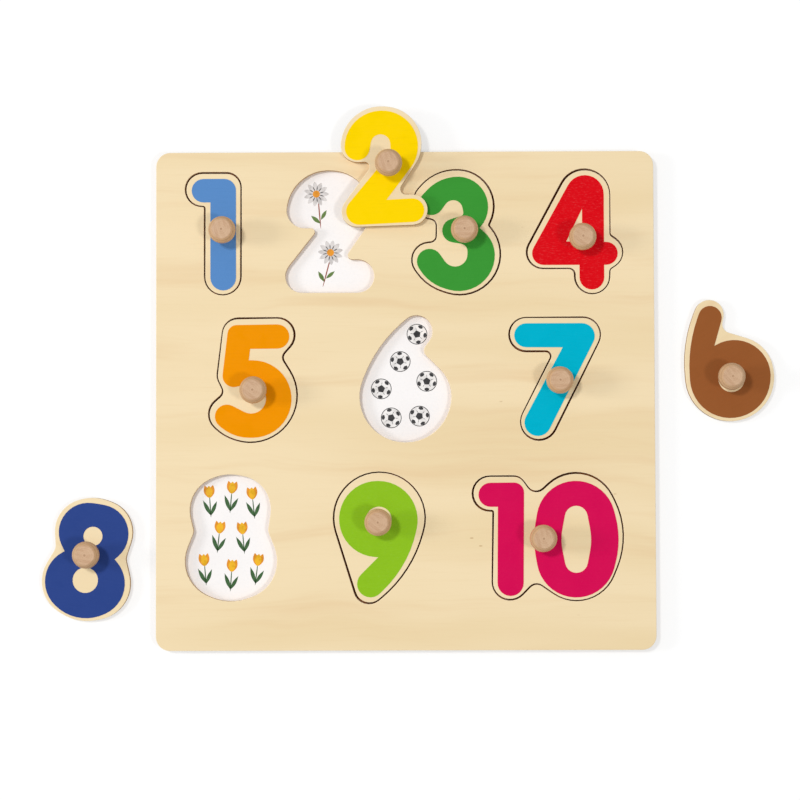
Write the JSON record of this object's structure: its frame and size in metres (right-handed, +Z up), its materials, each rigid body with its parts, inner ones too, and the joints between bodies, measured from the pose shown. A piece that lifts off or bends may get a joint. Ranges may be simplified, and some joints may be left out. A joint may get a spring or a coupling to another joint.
{
  "type": "number puzzle",
  "caption": "Wooden knob puzzle: a square plywood board with sawn openings shaped like numerals, and printed numeral pieces with turned pull knobs that lift out.",
  "frame": {"origin": "centre of the board's flat underside", "axes": "+X to the right of the numerals, +Y to their top, +Z up out of the openings"},
  "size_m": [0.4416, 0.3269, 0.0303],
  "materials": {
    "plywood": "pale sanded plywood, satin varnish",
    "turned_wood": "turned beech, matt varnish",
    "printed_sheet": "white coated print",
    "steel": "zinc plated",
    "ink_light_blue": "satin screen print",
    "ink_yellow": "satin screen print",
    "ink_green": "satin screen print",
    "ink_red": "satin screen print",
    "ink_orange": "satin screen print",
    "ink_brown": "satin screen print",
    "ink_cyan": "satin screen print",
    "ink_dark_blue": "satin screen print",
    "ink_light_green": "satin screen print",
    "ink_magenta": "satin screen print"
  },
  "bodies": {
    "board": {"frame_board": "plywood", "backing_board": "plywood", "picture_sheet": "printed_sheet"},
    "one": {"plate_one": "plywood", "ink_one": "ink_light_blue", "knob_one": "turned_wood", "screw_one": "steel"},
    "two": {"plate_two": "plywood", "ink_two": "ink_yellow", "knob_two": "turned_wood", "screw_two": "steel"},
    "three": {"plate_three": "plywood", "ink_three": "ink_green", "knob_three": "turned_wood", "screw_three": "steel"},
    "four": {"plate_four": "plywood", "ink_four": "ink_red", "knob_four": "turned_wood", "screw_four": "steel"},
    "five": {"plate_five": "plywood", "ink_five": "ink_orange", "knob_five": "turned_wood", "screw_five": "steel"},
    "six": {"plate_six": "plywood", "ink_six": "ink_brown", "knob_six": "turned_wood", "screw_six": "steel"},
    "seven": {"plate_seven": "plywood", "ink_seven": "ink_cyan", "knob_seven": "turned_wood", "screw_seven": "steel"},
    "eight": {"plate_eight": "plywood", "ink_eight": "ink_dark_blue", "knob_eight": "turned_wood", "screw_eight": "steel"},
    "nine": {"plate_nine": "plywood", "ink_nine": "ink_light_green", "knob_nine": "turned_wood", "screw_nine": "steel"},
    "ten": {"plate_ten": "plywood", "ink_ten_one": "ink_magenta", "ink_ten_zero": "ink_magenta", "knob_ten": "turned_wood", "screw_ten": "steel"}
  },
  "joints": [
    {"name": "one_lift", "type": "slide", "parent": "board", "child": "one", "axis": [0, 0, 1], "range_m": [0, 0.04]},
    {"name": "three_lift", "type": "slide", "parent": "board", "child": "three", "axis": [0, 0, 1], "range_m": [0, 0.04]},
    {"name": "two_lift", "type": "slide", "parent": "three", "child": "two", "axis": [0, 0, 1], "range_m": [0, 0.04]},
    {"name": "four_lift", "type": "slide", "parent": "board", "child": "four", "axis": [0, 0, 1], "range_m": [0, 0.04]},
    {"name": "five_lift", "type": "slide", "parent": "board", "child": "five", "axis": [0, 0, 1], "range_m": [0, 0.04]},
    {"name": "six_lift", "type": "slide", "parent": "board", "child": "six", "axis": [0, 0, 1], "range_m": [0, 0.04]},
    {"name": "seven_lift", "type": "slide", "parent": "board", "child": "seven", "axis": [0, 0, 1], "range_m": [0, 0.04]},
    {"name": "eight_lift", "type": "slide", "parent": "board", "child": "eight", "axis": [0, 0, 1], "range_m": [0, 0.04]},
    {"name": "nine_lift", "type": "slide", "parent": "board", "child": "nine", "axis": [0, 0, 1], "range_m": [0, 0.04]},
    {"name": "ten_lift", "type": "slide", "parent": "board", "child": "ten", "axis": [0, 0, 1], "range_m": [0, 0.04]}
  ]
}
